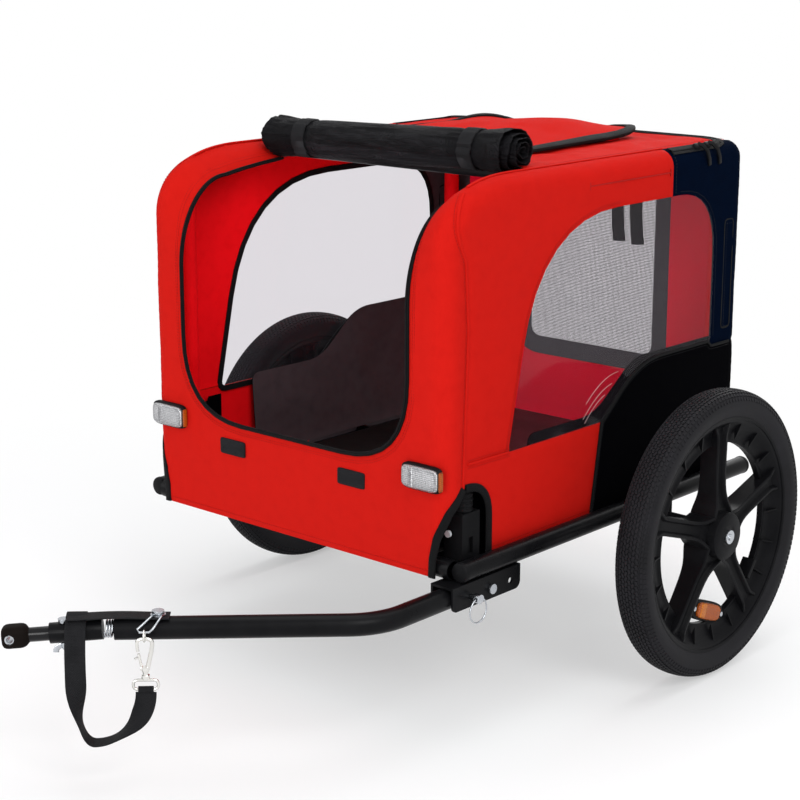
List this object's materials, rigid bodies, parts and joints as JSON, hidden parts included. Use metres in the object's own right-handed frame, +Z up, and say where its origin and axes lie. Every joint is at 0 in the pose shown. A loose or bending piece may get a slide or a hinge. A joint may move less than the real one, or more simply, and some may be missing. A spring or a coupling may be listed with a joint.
{
  "type": "dog bike trailer",
  "caption": "Cloth-covered pet trailer on wheels with a rolled-up front door, clear side windows and a bent side tow bar that folds under the floor.",
  "frame": {"origin": "on the ground, under the middle of the bounding box", "axes": "+Z up, -Y forward to the coupling knob, +X to the tow bar's side of the trailer"},
  "size_m": [0.8376, 1.1134, 0.7485],
  "materials": {
    "black_steel": "satin black paint on steel tube",
    "zinc": "bright zinc plate",
    "nickel": "nickel plate",
    "red_cloth": "woven polyester, coated inside",
    "black_cloth": "dark woven polyester",
    "mesh": "fine mesh with a bound edge",
    "clear_sheet": "clear soft sheet",
    "black_plastic": "moulded black plastic",
    "rubber": "moulded black rubber",
    "tyre": "fine tread",
    "clear_lens": "prismatic clear lens",
    "amber_lens": "prismatic amber lens",
    "webbing": "flat woven webbing"
  },
  "bodies": {
    "frame": {"left_base_rail": "black_steel", "right_base_rail": "black_steel", "front_cross_tube": "black_steel", "axle_cross_tube": "black_steel", "rear_cross_tube": "black_steel", "rail_end_caps": "rubber", "corner_feet": "black_plastic", "leg_collars": "rubber", "frame_bolts": "zinc", "floor_board": "black_plastic", "axle_brackets": "black_steel", "hitch_bracket": "black_steel", "hitch_pivot_bolt": "zinc", "roof_spreaders": "black_steel", "left_side_arch": "black_steel", "right_side_arch": "black_steel", "front_panel": "red_cloth", "front_door_piping": "black_cloth", "left_side_panel": "red_cloth", "right_side_panel": "red_cloth", "side_windows": "clear_sheet", "wheel_guards": "black_cloth", "roof_panel": "red_cloth", "rear_panel": "red_cloth", "cutout_bindings": "black_cloth", "hook_patches": "black_cloth", "front_reflectors": "clear_lens", "rolled_door": "mesh", "roll_straps": "black_cloth", "zip_sliders": "black_plastic"},
    "left_axle": {"left_axle": "zinc"},
    "left_wheel": {"left_tyre": "tyre", "left_rim": "black_plastic", "left_bearings": "zinc", "left_wheel_reflector": "amber_lens"},
    "left_button": {"left_axle_button": "zinc"},
    "right_axle": {"right_axle": "zinc"},
    "right_wheel": {"right_tyre": "tyre", "right_rim": "black_plastic", "right_bearings": "zinc", "right_wheel_reflector": "amber_lens"},
    "right_button": {"right_axle_button": "zinc"},
    "tow_bar": {"tow_bar_tube": "black_steel", "strap_bolt": "zinc", "strap_anchor": "zinc", "strap_ring": "nickel", "coupling_spring": "zinc", "safety_strap": "webbing", "snap_hook": "nickel"},
    "hook_gate": {"snap_hook_gate": "nickel"},
    "lock_pin": {"lock_pin": "zinc", "lock_pin_ring": "zinc"},
    "coupling": {"coupling_arm": "black_steel", "coupling_stem": "black_steel", "coupling_knob": "rubber", "clamp_bolt": "zinc"},
    "wing_nut": {"wing_nut": "zinc"},
    "roof_flap": {"roof_flap": "red_cloth"},
    "rear_door": {"rear_mesh_door": "mesh"}
  },
  "joints": [
    {"name": "left_axle_pull", "type": "slide", "parent": "frame", "child": "left_axle", "axis": [1, 0, 0], "range_m": [0, 0.15]},
    {"name": "left_wheel_spin", "type": "hinge", "parent": "left_axle", "child": "left_wheel", "pos_m": [0.385, 0.30784, 0.2], "axis": [1, 0, 0], "continuous": true},
    {"name": "left_button_push", "type": "slide", "parent": "left_axle", "child": "left_button", "axis": [-1, 0, 0], "range_m": [0, 0.003], "stiffness_N_per_m": 800},
    {"name": "right_axle_pull", "type": "slide", "parent": "frame", "child": "right_axle", "axis": [-1, 0, 0], "range_m": [0, 0.15]},
    {"name": "right_wheel_spin", "type": "hinge", "parent": "right_axle", "child": "right_wheel", "pos_m": [-0.385, 0.30784, 0.2], "axis": [1, 0, 0], "continuous": true},
    {"name": "right_button_push", "type": "slide", "parent": "right_axle", "child": "right_button", "axis": [1, 0, 0], "range_m": [0, 0.003], "stiffness_N_per_m": 800},
    {"name": "tow_bar_fold", "type": "hinge", "parent": "frame", "child": "tow_bar", "pos_m": [0.272, -0.05016, 0.193], "axis": [1, 0, 0], "range_deg": [0, 170], "deforming": ["safety_strap"]},
    {"name": "lock_pin_slide", "type": "slide", "parent": "frame", "child": "lock_pin", "axis": [1, 0, 0], "range_m": [-0.0077, 0.03]},
    {"name": "coupling_flex", "type": "hinge", "parent": "tow_bar", "child": "coupling", "pos_m": [0.04019, -0.46101, 0.193], "axis": [0, 0, 1], "range_deg": [-18, 18], "stiffness_Nm_per_rad": 25, "deforming": ["coupling_spring", "safety_strap"]},
    {"name": "wing_nut_turn", "type": "hinge", "parent": "coupling", "child": "wing_nut", "pos_m": [0.0027, -0.49722, 0.17081], "axis": [-0.0502, -0.0485, 0.9976], "continuous": true},
    {"name": "hook_gate_open", "type": "hinge", "parent": "tow_bar", "child": "hook_gate", "pos_m": [0.0851, -0.45101, 0.1515], "axis": [-0.6947, 0.7193, 0], "range_deg": [0, 25], "stiffness_Nm_per_rad": 0.1},
    {"name": "roof_flap_lift", "type": "hinge", "parent": "frame", "child": "roof_flap", "pos_m": [0, 0.12384, 0.7098], "axis": [1, 0, 0], "range_deg": [0, 110]},
    {"name": "rear_door_drop", "type": "hinge", "parent": "frame", "child": "rear_door", "pos_m": [0, 0.55064, 0.322], "axis": [-1, 0, 0], "range_deg": [0, 115]}
  ]
}
